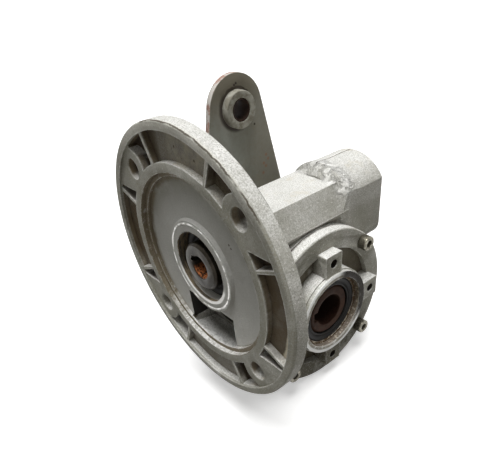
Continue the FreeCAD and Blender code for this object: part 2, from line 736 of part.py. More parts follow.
def arm_bolt():
    """Hexagon bolt through the arm into a lug, at +X."""
    x = lug_circle_d / 2
    head_y = arm_back_y + washer_thickness
    corner_r = arm_bolt_head_af / 2 / math.cos(math.pi / 6)
    points = [V(x + corner_r * math.cos(i * math.pi / 3), head_y, corner_r * math.sin(i * math.pi / 3))
              for i in range(7)]
    head_solid = Part.Face(Part.makePolygon(points)).extrude(V(0, arm_bolt_head_height, 0))
    crown = Part.makeCone(corner_r + arm_bolt_crown_low, corner_r - arm_bolt_crown_high,
                          arm_bolt_head_height, V(x, head_y, 0), Y)
    shank_d = lug_hole_d - 2 * seat_play
    shank = disc_y(shank_d, head_y - arm_bolt_length, head_y, x)
    return head_solid.common(crown).fuse(shank)


def arm_washer():
    """Washer under an arm bolt, at +X."""
    hole_d = arm_bolt_d + 2 * screw_play
    return ring_y(washer_od, hole_d, arm_back_y, arm_back_y + washer_thickness, lug_circle_d / 2)


save(gear_case(), "gear_case")

gasket, seal = cover_gasket(), output_seal()
screws = Part.Compound(around_y(cap_screw(), cover_screw_count, 45.0))
inner, outer, balls, cage = bearing_y(output_bearing, -output_bearing_y - output_bearing["width"])
save(output_cover(lug_face_y), "near_cover")
save(far_side(output_cover(hub_face_y)), "far_cover")
for side, place in (("near", lambda shape: shape), ("far", far_side)):
    save(place(gasket), side + "_cover_gasket")
    save(place(screws), side + "_cover_screws")
    save(place(seal), side + "_output_seal")
    save(place(inner), side + "_output_bearing_inner_ring")
    save(place(outer), side + "_output_bearing_outer_ring")
    save(place(balls), side + "_output_bearing_balls")
    save(place(cage), side + "_output_bearing_cage")

worm_bearings = (("worm_front", front_bearing, front_bearing_x),
                 ("worm_rear", rear_bearing, rear_bearing_x))
for name, spec, x0 in worm_bearings:
    inner, outer, balls, cage = bearing_x(spec, x0)
    save(inner, name + "_bearing_inner_ring")
    save(outer, name + "_bearing_outer_ring")
    save(balls, name + "_bearing_balls")
    save(cage, name + "_bearing_cage")

rear_ring_x = rear_bearing_x + rear_bearing["width"]
save(worm_seal(), "worm_seal")
save(inner_circlip(front_bearing, front_bearing_x - circlip_width - seat_play), "worm_front_circlip")
save(inner_circlip(rear_bearing, rear_ring_x + seat_play), "worm_rear_circlip")
save(shaft_circlip(worm_rear_journal_d, rear_ring_x), "worm_shaft_circlip")
save(rear_cap(), "worm_rear_cap")
save(worm_shaft(), "worm_shaft")
save(hollow_output_shaft(), "hollow_output_shaft")
save(worm_wheel_rim(), "worm_wheel_rim")

save(torque_arm(), "torque_arm")
save(arm_bush(bush_od, bush_liner_od, 0.0), "torque_arm_bush_sleeve")
save(arm_bush(bush_liner_od, bush_bore_d, liner_inset), "torque_arm_bush_liner")
save(Part.Compound(around_y(arm_bolt(), lug_count)), "torque_arm_bolts")
save(Part.Compound(around_y(arm_washer(), lug_count)), "torque_arm_washers")
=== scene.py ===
"""Looks of a worm gear reducer: finishes, rounded castings and small cast and turned details.

Lengths are in millimetres, and turn into metres where Blender gets them.
"""
import json
import logging
import math
from dataclasses import dataclass
from enum import Enum
from functools import cache, reduce
from operator import or_
from typing import Iterable, Sequence

import bmesh
import bpy
from mathutils import Matrix, Vector


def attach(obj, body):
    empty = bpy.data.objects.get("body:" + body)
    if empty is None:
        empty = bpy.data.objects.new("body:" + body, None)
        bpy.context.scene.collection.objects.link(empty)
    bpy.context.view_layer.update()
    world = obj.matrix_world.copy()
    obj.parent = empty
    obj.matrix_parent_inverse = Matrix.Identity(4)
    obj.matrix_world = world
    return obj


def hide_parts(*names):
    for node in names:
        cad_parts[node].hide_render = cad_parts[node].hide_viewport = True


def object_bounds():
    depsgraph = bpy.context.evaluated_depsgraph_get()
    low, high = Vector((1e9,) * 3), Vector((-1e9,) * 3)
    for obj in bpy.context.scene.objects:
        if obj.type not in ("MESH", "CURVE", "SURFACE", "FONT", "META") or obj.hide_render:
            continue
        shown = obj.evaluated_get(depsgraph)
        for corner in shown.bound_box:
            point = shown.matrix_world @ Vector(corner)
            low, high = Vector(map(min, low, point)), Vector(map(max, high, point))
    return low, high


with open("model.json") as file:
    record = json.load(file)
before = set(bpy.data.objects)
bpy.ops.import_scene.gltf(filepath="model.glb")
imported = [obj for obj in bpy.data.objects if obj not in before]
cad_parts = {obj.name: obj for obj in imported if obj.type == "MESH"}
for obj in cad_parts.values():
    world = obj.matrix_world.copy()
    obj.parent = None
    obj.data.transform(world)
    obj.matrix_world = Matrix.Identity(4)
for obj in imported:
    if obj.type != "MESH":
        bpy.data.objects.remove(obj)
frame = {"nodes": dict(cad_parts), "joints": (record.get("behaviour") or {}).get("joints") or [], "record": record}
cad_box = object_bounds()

logging.basicConfig(level=logging.INFO, format="%(name)s: %(message)s")
log = logging.getLogger("reducer")

MM = 0.001
PLACES = {row["name"]: row["pos_m"] for row in frame["joints"] + frame["record"]["mounts"]}
WORM_Z = PLACES["worm_turn"][2] / MM
BUSH_Z = PLACES["torque_arm_bush"][2] / MM

Colour = tuple[float, float, float]
Place = tuple[float, float, float]
WHITE: Colour = (1.0, 1.0, 1.0)


class Axis(Enum):
    """The two directions that turned pieces lie along."""

    WORM = "x"
    OUTPUT = "y"

    @property
    def direction(self) -> Vector:
        """Unit vector along the axis."""
        return Vector((1, 0, 0)) if self is Axis.WORM else Vector((0, 1, 0))

    @property
    def centre(self) -> Vector:
        """A point on the axis, in metres."""
        return Vector((0, 0, WORM_Z * MM if self is Axis.WORM else 0))

    def place(self, along: float, radius: float) -> Vector:
        """Point above the axis.

        Args:
            along: Place along the axis.
            radius: Distance from the axis.

        Returns:
            The point, in metres.
        """
        return self.centre + self.direction * (along * MM) + Vector((0, 0, radius * MM))


class Field:
    """A value that varies over the surface, with arithmetic; a mask is one from 0 to 1."""

    def __init__(self, nodes: "Nodes", socket: bpy.types.NodeSocket) -> None:
        """Wrap a node's output.

        Args:
            nodes: The node tree.
            socket: The output.
        """
        self.nodes = nodes
        self.socket = socket

    def __add__(self, other: "Value") -> "Field":
        """This and another value."""
        return self.nodes.math("ADD", self, other)

    def __radd__(self, other: float) -> "Field":
        """A number and this."""
        return self.nodes.math("ADD", other, self)

    def __sub__(self, other: "Value") -> "Field":
        """This less another value."""
        return self.nodes.math("SUBTRACT", self, other)

    def __rsub__(self, other: float) -> "Field":
        """A number less this."""
        return self.nodes.math("SUBTRACT", other, self)

    def __mul__(self, other: "Value") -> "Field":
        """Product; of masks, where both are."""
        return self.nodes.math("MULTIPLY", self, other)

    def __or__(self, other: "Value") -> "Field":
        """The larger; of masks, where either is."""
        return self.nodes.math("MAXIMUM", self, other)

    def __abs__(self) -> "Field":
        """The value without its sign."""
        return self.nodes.math("ABSOLUTE", self)

    def ramp(self, low: float, high: float) -> "Field":
        """Smooth step from 0 at low to 1 at high, either way round.

        Args:
            low: Where the step is 0.
            high: Where the step is 1.

        Returns:
            The mask.
        """
        node = self.nodes.add("ShaderNodeMapRange", interpolation_type="SMOOTHSTEP")
        flipped = low > high
        settings = {"Value": self, "From Min": min(low, high), "From Max": max(low, high),
                    "To Min": float(flipped), "To Max": float(not flipped)}
        for name, value in settings.items():
            self.nodes.feed(node.inputs[name], value)
        return Field(self.nodes, node.outputs["Result"])

    def step(self, low: float, high: float) -> "Field":
        """The same smooth step, between two lengths in millimetres."""
        return self.ramp(low * MM, high * MM)

    def band(self, low: float, high: float, soft: float) -> "Field":
        """Mask that is 1 between two lengths.

        Args:
            low: Start of the band.
            high: End of the band.
            soft: Half the width of each edge.

        Returns:
            The mask.
        """
        return self.step(low - soft, low + soft) * self.step(high + soft, high - soft)

    def without(self, other: "Field", amount: float = 1.0) -> "Field":
        """This mask with another one taken out of it.

        Args:
            other: What is taken out.
            amount: How much of it.

        Returns:
            The mask that is left.
        """
        return self * (1.0 - other * amount)

    def under(self, mask: "Field", colour: "Value") -> "Field":
        """This colour with another one laid over it, where the mask is."""
        return self.nodes.mix(mask, self, colour)


Value = Field | float | Colour


class Nodes:
    """A node tree, with short calls for its arithmetic and colours."""

    def __init__(self, tree: bpy.types.NodeTree) -> None:
        """Work on a tree.

        Args:
            tree: The tree.
        """
        self.tree = tree

    def add(self, kind: str, **settings: object) -> bpy.types.Node:
        """Add one node.

        Args:
            kind: The node's type name.
            settings: Its properties.

        Returns:
            The new node.
        """
        node = self.tree.nodes.new(kind)
        for key, value in settings.items():
            setattr(node, key, value)
        return node

    def feed(self, socket: bpy.types.NodeSocket, value: Value) -> None:
        """Link a socket to a field, or set its number or colour.

        Args:
            socket: The input.
            value: What it gets.
        """
        if isinstance(value, Field):
            self.tree.links.new(value.socket, socket)
        elif isinstance(value, tuple):
            socket.default_value = (*value, 1.0)
        else:
            socket.default_value = value

    def split(self, vector: Field) -> list[Field]:
        """The three parts of a vector.

        Args:
            vector: The vector.

        Returns:
            Its X, Y and Z.
        """
        node = self.add("ShaderNodeSeparateXYZ")
        self.feed(node.inputs[0], vector)
        return [Field(self, output) for output in node.outputs]

    def math(self, kind: str, a: Value, b: Value = 0.0) -> Field:
        """Arithmetic on two values.

        Args:
            kind: The operation.
            a: First value.
            b: Second value.

        Returns:
            The result.
        """
        node = self.add("ShaderNodeMath", operation=kind)
        self.feed(node.inputs[0], a)
        self.feed(node.inputs[1], b)
        return Field(self, node.outputs[0])

    def mix(self, factor: Value, a: Value, b: Value) -> Field:
        """Colour between a and b.

        Args:
            factor: 0 for a, 1 for b.
            a: First colour.
            b: Second colour.

        Returns:
            The mixed colour.
        """
        node = self.add("ShaderNodeMix", data_type="RGBA", clamp_factor=True)
        for index, value in ((0, factor), (6, a), (7, b)):
            self.feed(node.inputs[index], value)
        return Field(self, node.outputs[2])

    def seen_directly(self) -> Field:
        """Mask of rays from the camera or off gloss and glass.

        Returns:
            The mask.
        """
        path = self.add("ShaderNodeLightPath").outputs
        names = ("Is Camera Ray", "Is Glossy Ray", "Is Transmission Ray")
        return reduce(or_, [Field(self, path[name]) for name in names])


class Sheet(Nodes):
    """Node sheet of one material, with a short call for each kind of pattern."""

    def __init__(self, name: str) -> None:
        """Start a material with a Principled surface.

        Args:
            name: The material's name.
        """
        self.material = bpy.data.materials.new(name)
        self.material.use_nodes = True
        super().__init__(self.material.node_tree)
        self.tree.nodes.clear()
        self.surface = self.add("ShaderNodeBsdfPrincipled")
        output = self.add("ShaderNodeOutputMaterial")
        self.tree.links.new(self.surface.outputs["BSDF"], output.inputs["Surface"])
        self.coords = Field(self, self.add("ShaderNodeTexCoord").outputs["Object"])
        self.x, self.y, self.z = self.split(self.coords)

    def noise(self, scale: float, detail: float = 3.0, roughness: float = 0.55,
              stretch: Sequence[float] | None = None) -> Field:
        """Cloudy pattern.

        Args:
            scale: Features in a metre.
            detail: Octaves.
            roughness: Strength of the finer octaves.
            stretch: Scale along X, Y and Z, if it is uneven.

        Returns:
            The pattern, about 0.3 to 0.7.
        """
        node = self.add("ShaderNodeTexNoise")
        source = self.coords
        if stretch is not None:
            mapping = self.add("ShaderNodeMapping")
            self.feed(mapping.inputs["Vector"], source)
            mapping.inputs["Scale"].default_value = stretch
            source = Field(self, mapping.outputs[0])
        settings = {"Vector": source, "Scale": scale, "Detail": detail, "Roughness": roughness}
        for name, value in settings.items():
            self.feed(node.inputs[name], value)
        return Field(self, node.outputs["Fac"])

    def cloud(self, scale: float, detail: float, roughness: float, low: float,
              high: float) -> Field:
        """Mask of cloudy patches.

        Args:
            scale: Features in a metre.
            detail: Octaves.
            roughness: Strength of the finer octaves.
            low: Where a patch starts in the pattern.
            high: Where it is full.

        Returns:
            The mask.
        """
        return self.noise(scale, detail, roughness).ramp(low, high)

    def from_line(self, across: Field, centre_z: float = 0.0) -> Field:
        """Distance from a level line.

        Args:
            across: Level distance from the line.
            centre_z: Height of the line.

        Returns:
            The distance.
        """
        up = self.z - centre_z * MM
        return self.math("SQRT", across * across + up * up)

    def from_axis(self, axis: Axis) -> Field:
        """Distance from the worm's or the output's axis."""
        return self.from_line(self.y, WORM_Z) if axis is Axis.WORM else self.from_line(self.x)

    def near_points(self, points: Iterable[Place], radius: float, soft: float) -> Field:
        """Mask of round spots.

        Args:
            points: Their centres.
            radius: Their size.
            soft: Half the width of the edge.

        Returns:
            The mask.
        """
        spots = []
        for point in points:
            node = self.add("ShaderNodeVectorMath", operation="DISTANCE")
            self.feed(node.inputs[0], self.coords)
            node.inputs[1].default_value = [value * MM for value in point]
            spots.append(Field(self, node.outputs["Value"]).step(radius + soft, radius - soft))
        return reduce(or_, spots)

    def crevice(self, reach: float, inside: bool = False) -> Field:
        """Mask of inner corners and pits, or, from inside, of outer edges.

        Args:
            reach: How far the shade of a wall goes.
            inside: Whether to look from inside.

        Returns:
            The mask, 1 in a deep corner.
        """
        node = self.add("ShaderNodeAmbientOcclusion", samples=6, inside=inside)
        node.inputs["Distance"].default_value = reach * MM
        return 1.0 - Field(self, node.outputs["AO"])

    def ridge(self, reach: float) -> Field:
        """Mask of outer edges; reach is the width of the worn edge."""
        return self.crevice(reach, inside=True).ramp(0.15, 0.6)

    def facing_up(self) -> Field:
        """Mask of surfaces that look up; only for bodies that never turn."""
        normal = self.add("ShaderNodeNewGeometry").outputs["Normal"]
        return self.split(Field(self, normal))[2].ramp(0.52, 0.99)

    def bump(self, height: Field, depth: float) -> None:
        """Raise the surface by a pattern.

        Args:
            height: The pattern.
            depth: Its height.
        """
        node = self.add("ShaderNodeBump")
        node.inputs["Distance"].default_value = depth * MM
        self.feed(node.inputs["Height"], height)
        self.tree.links.new(node.outputs["Normal"], self.surface.inputs["Normal"])

    def shade(self, colour: Value, rough: Value, metal: Value = 0.0, gloss: float = 0.5) -> None:
        """Set the surface's colour and shine.

        Args:
            colour: Base colour.
            rough: Roughness.
            metal: 0 for paint and rubber, 1 for clean metal.
            gloss: Specular level.
        """
        settings = {"Base Color": colour, "Roughness": rough, "Metallic": metal,
                    "Specular IOR Level": gloss}
        for name, value in settings.items():
            self.feed(self.surface.inputs[name], value)


@dataclass(frozen=True)
class Finish:
    """One finish, made once and shared by the pieces that wear it."""

    name: str

    def paint(self, sheet: Sheet) -> None:
        """Lay out the finish on a node sheet; each finish has its own.

        Args:
            sheet: The node sheet.
        """
        raise NotImplementedError

    @cache
    def material(self) -> bpy.types.Material:
        """The finish as a material.

        Returns:
            The material, made at the first call.
        """
        sheet = Sheet(self.name)
        self.paint(sheet)
        return sheet.material

    def dress(self, obj: bpy.types.Object) -> None:
        """Put the finish on a piece.

        Args:
            obj: The piece.
        """
        if not obj.material_slots:
            obj.data.materials.append(self.material())
        for slot in obj.material_slots:
            slot.material = self.material()


@dataclass
class Coat:
    """One casting's layers, as they add up; up is the mask of surfaces that look up, and the darkening mask holds
    grime and painted shade.
    """

    sheet: Sheet
    up: Field
    colour: Field
    dirt_and_shade: Field
    shine: Value = 0.0
    height: Value = 0.0

    def tint(self, mask: Field, colour: Value) -> None:
        """Lay a colour over the coat, where the mask is."""
        self.colour = self.colour.under(mask, colour)


@dataclass(frozen=True)
class CastAluminium(Finish):
    """Weathered die casting: pale grain, oily layer and painted shade on its sides, grime and painted shade in
    corners and low down, worn edges.
    """

    pale: Colour = (0.84, 0.835, 0.81)
    dull: Colour = (0.37, 0.367, 0.325)
    bare: Colour = (0.90, 0.895, 0.87)
    film_and_shade: Colour = (0.225, 0.214, 0.153)
    # painted shade for faces low down
    low_shade: Colour = (0.11, 0.10, 0.068)
    speck: Colour = (0.15, 0.14, 0.105)
    dirt_and_shade: Colour = (0.060, 0.045, 0.028)
    film_and_shade_amount: float = 0.55
    dirt_and_shade_reach: float = 9.0
    edge_reach: float = 0.9
    roughness: float = 0.55
    metal: float = 0.06
    gloss: float = 0.12
    grain_depth: float = 0.34

    def tone(self, sheet: Sheet, up: Field) -> Field:
        """Grainy grey under an oily layer, before stains; faces that don't look up get painted shade with it, and
        the lowest ones more.

        Args:
            sheet: The node sheet.
            up: Mask of surfaces that look up, which the oily layer and its painted shade leave out.

        Returns:
            The colour.
        """
        smear = sheet.cloud(48, 5, 0.62, 0.32, 0.64)
        oily = (0.45 + smear * 0.55) * self.film_and_shade_amount
        # painted shade: low faces back from the flange are painted darker towards the bottom
        low_shade_mask = sheet.z.step(-14, -32) * sheet.x.step(-50, -44) * smear.ramp(0.0, 0.6)
        base = sheet.mix(sheet.cloud(60, 4, 0.6, 0.38, 0.68) * 0.25, self.pale, self.dull)
        base = base.under(sheet.cloud(1400, 3, 0.8, 0.44, 0.58) * 0.6, self.dull)
        # painted shade: the oily layer darkens and browns every face that doesn't look up
        base = base.under(oily.without(up), self.film_and_shade)
        base = base.under((low_shade_mask * 0.8).without(up, 0.7), self.low_shade)
        base = base.under(sheet.cloud(1700, 2, 0.7, 0.60, 0.66) * 0.5, self.speck)
        return base.under(sheet.cloud(1150, 2, 0.6, 0.60, 0.66) * 0.55, self.bare)

    def stains(self, coat: Coat) -> None:
        """Add one casting's stains to its coat; a plain casting has none.

        Args:
            coat: The layers so far.
        """

    def paint(self, sheet: Sheet) -> None:
        """Lay out the cast finish.

        Args:
            sheet: The node sheet.
        """
        up = sheet.facing_up()
        haze = sheet.noise(140, 4, 0.65)
        # grime and painted shade: ambient occlusion darkens corners, less on faces that look up
        corner = sheet.crevice(self.dirt_and_shade_reach).ramp(0.30, 0.80) * haze.ramp(0.26, 0.6)
        coat = Coat(sheet, up, self.tone(sheet, up), corner.without(up, 0.85))
        self.stains(coat)
        worn = sheet.ridge(self.edge_reach) * sheet.cloud(330, 3, 0.55, 0.34, 0.56)
        colour = coat.colour.under(worn * 0.75, self.bare).under(coat.dirt_and_shade * 0.88, self.dirt_and_shade)
        bright = sheet.math("MAXIMUM", coat.shine, worn * 0.7).without(coat.dirt_and_shade)
        rough = haze * 0.3 + (self.roughness - 0.12)
        sheet.shade(colour, rough - bright * 0.2, self.metal + bright * 0.6, self.gloss)
        fine = sheet.noise(1300, 3, 0.7) + sheet.noise(240, 3) * 1.6
        sheet.bump(fine + coat.height, self.grain_depth)


@dataclass(frozen=True)
class CaseCasting(CastAluminium):
    """The gear case: brown pockets, stained register, turned recess, window painted black as shadow, torn blend.
    """

    turned: Colour = (0.47, 0.47, 0.445)
    turned_lit_below: Colour = (0.62, 0.62, 0.59)
    face: Colour = (0.225, 0.216, 0.165)
    # painted light for the top of the flange face
    wiped: Colour = (0.66, 0.65, 0.575)
    rust: Colour = (0.17, 0.135, 0.08)
    seat_rust: Colour = (0.20, 0.15, 0.085)
    seat_oil: Colour = (0.035, 0.025, 0.016)
    pocket: Colour = (0.17, 0.135, 0.085)
    pocket_deep_shade: Colour = (0.045, 0.030, 0.017)
    window_shadow: Colour = (0.012, 0.010, 0.008)
    tan: Colour = (0.60, 0.54, 0.41)
    # painted light for the outer floor of the right-hand pockets
    tan_lit: Colour = (0.74, 0.68, 0.54)
    nook_dirt_and_shade: Colour = (0.062, 0.043, 0.026)
    nook_sides: tuple[float, float] = (28.0, 62.0)
    nook_ring_r: float = 59.0
    nook_x: float = -60.0
    ring_r: float = 52.0
    rim_r: float = 66.0
    recess_r: float = 45.2
    register_r: float = 47.9
    seat_r: float = 18.9
    window_top_z: float = 24.0
    window_end_x: float = -34.0
    parting_y: float = 3.0
    marks: tuple[Place, ...] = ((-59.2, -10.5, 100.0), (-58.0, -26.2, 64.6), (-58.0, -25.0, 66.0),
                                (-59.2, 3.5, 103.0))

    def recess(self, coat: Coat, radius: Field, front: Field) -> None:
        """Turned recess: smooth grey floor, painted lighter below and with painted shade above, stained ledge with
        a painted highlight where it looks up, dark bearing seat.

        Args:
            coat: The layers so far.
            radius: Distance from the worm axis.
            front: Mask of the flange's front.
        """
        sheet, up = coat.sheet, coat.up
        haze = sheet.noise(90, 4, 0.6)
        floor = front * radius.step(self.recess_r, self.recess_r - 0.6)
        # painted light: the recess floor is lighter towards the bottom, away from the upper wall's shade
        plain = sheet.mix(sheet.z.step(45, 8), self.turned, self.turned_lit_below)
        coat.tint(floor * 0.82, plain)
        # painted shade on the upper part of the recess floor
        shade = floor * radius.step(34, 45) * haze.ramp(0.32, 0.58) * sheet.z.step(40, 80)
        side = (floor * radius.step(41.5, 44.2) * haze.ramp(0.24, 0.5)
                * sheet.y.step(-20, 5) * sheet.z.step(10, 40))
        coat.tint(shade * 0.6, self.film_and_shade)
        coat.tint(side * 0.75, self.rust)
        ledge = front * radius.band(self.recess_r - 0.3, self.register_r, 0.25)
        brown = (ledge * sheet.cloud(300, 4, 0.7, 0.22, 0.46)).without(up, 0.85)
        coat.tint(brown * 0.88, self.rust)
        # painted highlight on the parts of the ledge that look up
        coat.tint(ledge * up * sheet.cloud(500, 3, 0.7, 0.42, 0.58), self.bare)
        seat = sheet.x.step(-44, -46) * radius.step(self.seat_r, self.seat_r - 0.2)
        streak = sheet.noise(380, 3, 0.6, (3.0, 0.35, 0.35)).ramp(0.42, 0.6)
        coat.tint(seat * 0.92, sheet.mix(streak, self.seat_rust, self.seat_oil))

    def pockets(self, coat: Coat, radius: Field, front: Field) -> None:
        """Pockets between the ribs: brown at the sides, paler above and below, painted shade where deep and in the
        narrow nooks, painted light on the outer floor at the right.

        Args:
            coat: The layers so far.
            radius: Distance from the worm axis.
            front: Mask of the flange's front.
        """
        sheet, up = coat.sheet, coat.up
        inside = (front * radius.band(self.ring_r - 0.1, self.rim_r + 0.2, 0.15)
                  * sheet.x.step(-62.55, -61.4))
        # painted shade: the deep parts of the pockets are darker
        deep = sheet.x.step(-60.2, -58.4)
        sideways = abs(sheet.y).step(22, 44)
        below = sheet.z.step(WORM_Z - 10, WORM_Z - 42)
        top_end = sheet.y.step(9, 21) * sheet.z.step(88, 92)
        right_side = sheet.y.step(-28, -36) * sheet.z.step(68, 62)
        amount = 0.34 + sideways * 0.5 + sheet.cloud(60, 4, 0.6, 0.30, 0.62) * 0.2
        amount = amount.without(below, 0.75) | deep * 0.95 | top_end * 0.95 | right_side * 0.92
        earth_and_shade = sheet.mix(deep, self.pocket, self.pocket_deep_shade)
        coat.tint(inside.without(up, 0.92) * amount, earth_and_shade)
        ragged_r = radius + sheet.noise(200, 4, 0.6) * (2 * MM)
        # painted light: the outer floor of the right-hand pockets is painted pale tan where the rim wall shades it
        outer = inside.without(up, 0.9) * right_side * ragged_r.step(61.6, 62.8)
        coat.tint(outer * 0.85, self.tan_lit)
        streak = (inside * sheet.y.step(14, 2) * sheet.z.step(84, 92)
                  * sheet.cloud(110, 5, 0.65, 0.3, 0.6))
        coat.tint(streak * 0.5, self.tan)
        angles = [math.radians(quarter + side) for quarter in (0, 90, 180, 270)
                  for side in self.nook_sides]
        nooks = [(self.nook_x, self.nook_ring_r * math.sin(angle),
                  WORM_Z + self.nook_ring_r * math.cos(angle)) for angle in angles]
        # grime and painted shade in the narrow nooks
        coat.tint(inside * sheet.near_points(nooks, 6.5, 1.5) * 0.72, self.nook_dirt_and_shade)

    def window(self, coat: Coat, radius: Field) -> None:
        """Window below the boss: painted shadow inside, with a floor painted light.

        Args:
            coat: The layers so far.
            radius: Distance from the worm axis.
        """
        sheet, up = coat.sheet, coat.up
        # painted shadow: the inside of the window is near black, except where it looks up
        hollow = (sheet.x.band(-57.7, self.window_end_x, 0.2)
                  * sheet.z.step(self.window_top_z + 1, self.window_top_z)
                  * abs(sheet.y).step(20.2, 19.8) * sheet.y.step(-19, -13))
        hollow = (hollow * radius.step(47, 46.6)).without(up, 0.9)
        coat.tint(hollow * 0.95, self.window_shadow)
        # painted light: the window's floor under the boss is painted pale
        floor = up * sheet.x.band(-57.9, self.window_end_x, 0.2) * radius.step(46, 45)
        coat.tint(floor * 0.8, self.bare)

    def soiled_and_shadowed(self, sheet: Sheet, radius: Field) -> Field:
        """Dirt in pits, and painted shadow lines beside the parting ridge, on the flange rim just back from its
        front edge, and at its back edge.

        Args:
            sheet: The node sheet.
            radius: Distance from the worm axis.

        Returns:
            The mask.
        """
        wavy_y = sheet.y + sheet.noise(160, 3, 0.6) * (1.6 * MM)
        off_line = abs(wavy_y - (self.parting_y + 0.1) * MM)
        # painted shadow beside the parting ridge
        line = off_line.step(0.42, 0.2) * sheet.x.step(24, 26) * sheet.z.step(60, 64)
        wavy_x = sheet.x + sheet.noise(190, 4, 0.7) * (1.6 * MM)
        # painted shadow: a ragged dark line just back from the rim's front edge
        rim_edge_shadow = (wavy_x.band(-62.9, -62.3, 0.15) * radius.step(69.2, 69.5)
                * sheet.cloud(60, 3, 0.55, 0.36, 0.48) * sheet.z.step(84, 92))
        # painted shadow: a dark dash along the rim's back edge, where it meets the tube
        rim_back_shadow = (sheet.x.band(-56.4, -55.3, 0.15) * radius.step(68.9, 69.2)
                  * sheet.y.band(-52, -43, 1) * sheet.z.step(80, 84))
        return sheet.near_points(self.marks, 0.55, 0.25) | line | rim_edge_shadow | rim_back_shadow

    def stains(self, coat: Coat) -> None:
        """Add the gear case's stains, painted light and painted shade to its coat.

        Args:
            coat: The layers so far.
        """
        sheet, up = coat.sheet, coat.up
        radius = sheet.from_axis(Axis.WORM)
        front = sheet.x.step(-55.5, -56.5)
        self.recess(coat, radius, front)
        self.pockets(coat, radius, front)
        on_face = sheet.x.step(-62.3, -62.5) * radius.step(47.4, 47.6)
        # the flange face is darker towards the bottom, in patches
        face_darker_below = on_face * sheet.z.step(108, 84) * sheet.cloud(70, 4, 0.6, 0.2, 0.5)
        coat.tint(face_darker_below * 0.62, self.face)
        # painted light: the top of the flange face is painted lighter
        coat.tint(on_face * sheet.z.step(88, 106) * 0.5, self.wiped)
        self.window(coat, radius)
        yellow = up * sheet.x.step(-40, 10) * sheet.cloud(80, 5, 0.7, 0.52, 0.66)
        coat.tint(yellow * 0.35, self.tan)
        blend = sheet.x.band(19.5, 32, 3) * sheet.z.step(54, 60)
        scar = blend * sheet.cloud(210, 5, 0.75, 0.42, 0.56)
        coat.tint(scar * 0.3, self.bare)
        coat.dirt_and_shade = coat.dirt_and_shade | self.soiled_and_shadowed(sheet, radius)
        head_flat = sheet.x.step(22, 30) * abs(sheet.y).step(19.6, 20.4) * sheet.z.step(52, 44)
        coat.tint(head_flat * 0.35, self.film_and_shade)
        # painted highlight: a bright arc on the lower inner edge of the bearing boss
        boss_arc_highlight = (sheet.x.step(-59.5, -59.8) * radius.step(20.3, 19.9)
                    * sheet.z.step(WORM_Z - 3, WORM_Z - 9))
        coat.tint(boss_arc_highlight * 0.5, self.bare)
        coat.shine = scar * 0.35 | boss_arc_highlight * 0.7
        coat.height = scar * 1.9


@dataclass(frozen=True)
class CoverCasting(CastAluminium):
    """An output cover: turned hub ring painted dark on its right side as shade, rusty seat, brown trough round the
    hub, holes painted black as shade.
    """

    film_and_shade_amount: float = 0.72
    rust: Colour = (0.12, 0.075, 0.038)
    rust_bright: Colour = (0.60, 0.52, 0.40)
    turned: Colour = (0.70, 0.705, 0.69)
    greasy: Colour = (0.26, 0.225, 0.16)
    # painted shade for the dark side of the turned ring
    oil: Colour = (0.016, 0.013, 0.009)
    black: Colour = (0.006, 0.005, 0.004)
    trough: Colour = (0.125, 0.105, 0.068)
    seat_r: float = 21.8
    hub_r: float = 26.2
    trough_r: float = 36.4
    trough_y: float = 25.4
    lug_circle_r: float = 32.1
    lug_hole_r: float = 2.8

    def lug_holes(self, sheet: Sheet, outward: Field) -> Field:
        """Mask of the four tapped holes, which are painted black as shade.

        Args:
            sheet: The node sheet.
            outward: Distance from the case's middle plane.

        Returns:
            The mask, 1 inside a hole.
        """
        out = self.lug_circle_r
        radii = [sheet.from_line(sheet.x - x * MM, z)
                 for x, z in ((out, 0.0), (-out, 0.0), (0.0, out), (0.0, -out))]
        holes = [radius.step(self.lug_hole_r, self.lug_hole_r - 0.15) for radius in radii]
        return reduce(or_, holes) * outward.step(33.8, 33.2)

    def stains(self, coat: Coat) -> None:
        """Add an output cover's stains and painted shade to its coat.

        Args:
            coat: The layers so far.
        """
        sheet, up = coat.sheet, coat.up
        radius = sheet.from_axis(Axis.OUTPUT)
        outward = abs(sheet.y)
        fine = sheet.noise(500, 4, 0.7)
        lip = outward.step(34.4, 34.8) * radius.step(25.6, 25.3)
        coat.tint(lip * 0.8, self.turned)
        worn_in = lip * radius.step(23.7, 23.1) * fine.ramp(0.36, 0.5)
        coat.tint(worn_in * 0.75, self.greasy)
        mouth = radius.step(self.seat_r, self.seat_r - 0.3) * outward.step(34.7, 33.8)
        coat.tint(mouth, sheet.mix(fine.ramp(0.54, 0.62), self.rust, self.rust_bright))
        # painted shade: the right side of the turned ring is painted dark, where its reflection looks dark
        shaded = lip * sheet.x.step(2, 9) * sheet.z.step(-16, -8)
        coat.tint(shaded, self.oil)
        joint = (outward.step(22.4, 21.7) * radius.step(45, 46)
                 * sheet.cloud(150, 4, 0.7, 0.34, 0.46))
        coat.dirt_and_shade = coat.dirt_and_shade | joint * 0.8
        # painted shade: the tapped holes are painted black
        coat.tint(self.lug_holes(sheet, outward), self.black)
        trough = (outward.step(self.trough_y, self.trough_y - 1.2)
                  * radius.band(self.hub_r - 0.4, self.trough_r, 0.4)
                  * sheet.cloud(75, 4, 0.6, 0.22, 0.48))
        coat.tint(trough.without(up, 0.8) * 0.85, self.trough)
        coat.shine = (lip * 0.6).without(shaded).without(worn_in, 0.9)


